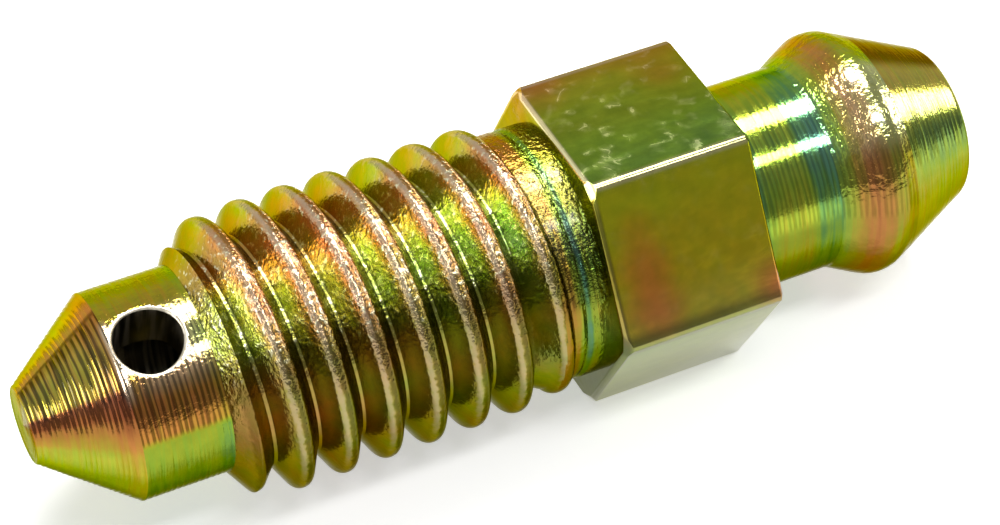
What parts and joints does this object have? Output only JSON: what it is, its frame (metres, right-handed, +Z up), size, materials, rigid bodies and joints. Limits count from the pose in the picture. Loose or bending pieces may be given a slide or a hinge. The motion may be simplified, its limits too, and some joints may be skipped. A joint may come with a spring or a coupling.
{
  "type": "bleeder screw",
  "caption": "Hollow hexagon bleeder screw with a seat cone, a right-hand thread, a cross hole in the nose and a barbed hose nipple.",
  "frame": {"origin": "on the surface it lies on, below the middle of the screw's length", "axes": "+X along the screw's axis from the seat cone to the hose nipple, +Z up out of the hexagon flat opposite the one it lies on"},
  "size_m": [0.0272, 0.009, 0.0079],
  "materials": {
    "yellow_zinc_steel": "glossy yellow chromate over zinc plating, green to orange tints, fine turning marks"
  },
  "bodies": {
    "root": {"bleeder_screw": "yellow_zinc_steel"}
  },
  "joints": []
}
